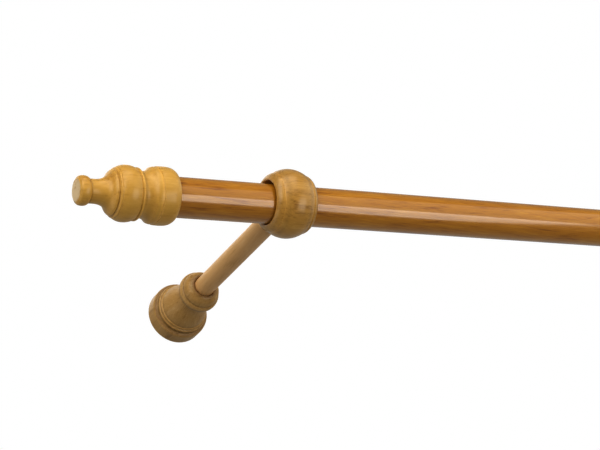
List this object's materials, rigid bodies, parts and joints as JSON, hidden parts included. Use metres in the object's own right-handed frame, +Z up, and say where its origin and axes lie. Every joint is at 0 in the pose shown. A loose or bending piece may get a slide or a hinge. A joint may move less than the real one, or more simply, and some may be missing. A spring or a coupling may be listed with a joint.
{
  "type": "curtain rod with brackets",
  "caption": "Turned wooden curtain pole with push-on finials, carried in ring brackets on dowel arms with bell-shaped wall rosettes.",
  "frame": {"origin": "on the wall plane, half way between the brackets, at the height of the bracket arms", "axes": "+X along the pole to the right seen from the room, +Y into the wall, +Z up"},
  "size_m": [1.2926, 0.2244, 0.0488],
  "materials": {
    "pole_wood": "gloss lacquer over straight, streaky grain",
    "finial_wood": "satin lacquer on turned wood",
    "ring_wood": "satin lacquer on turned wood",
    "arm_wood": "satin lacquer on a plain dowel",
    "rosette_wood": "satin lacquer on turned wood",
    "zinc_steel": "bright zinc plate"
  },
  "bodies": {
    "brackets": {"left_bracket_ring": "ring_wood", "left_bracket_arm": "arm_wood", "left_rosette": "rosette_wood", "left_ring_screw": "zinc_steel", "left_rosette_screw": "zinc_steel", "left_hanger_plate": "zinc_steel", "left_hanger_screw_upper": "zinc_steel", "left_hanger_screw_lower": "zinc_steel", "right_bracket_ring": "ring_wood", "right_bracket_arm": "arm_wood", "right_rosette": "rosette_wood", "right_ring_screw": "zinc_steel", "right_rosette_screw": "zinc_steel", "right_hanger_plate": "zinc_steel", "right_hanger_screw_upper": "zinc_steel", "right_hanger_screw_lower": "zinc_steel"},
    "pole": {"curtain_pole": "pole_wood"},
    "left_finial": {"left_finial": "finial_wood"},
    "right_finial": {"right_finial": "finial_wood"}
  },
  "joints": [
    {"name": "pole_slide", "type": "slide", "parent": "brackets", "child": "pole", "axis": [1, 0, 0], "range_m": [-0.0709, 0.0709]},
    {"name": "left_finial_pull", "type": "slide", "parent": "pole", "child": "left_finial", "axis": [-1, 0, 0], "range_m": [0, 0.03]},
    {"name": "right_finial_pull", "type": "slide", "parent": "pole", "child": "right_finial", "axis": [1, 0, 0], "range_m": [0, 0.03]}
  ]
}
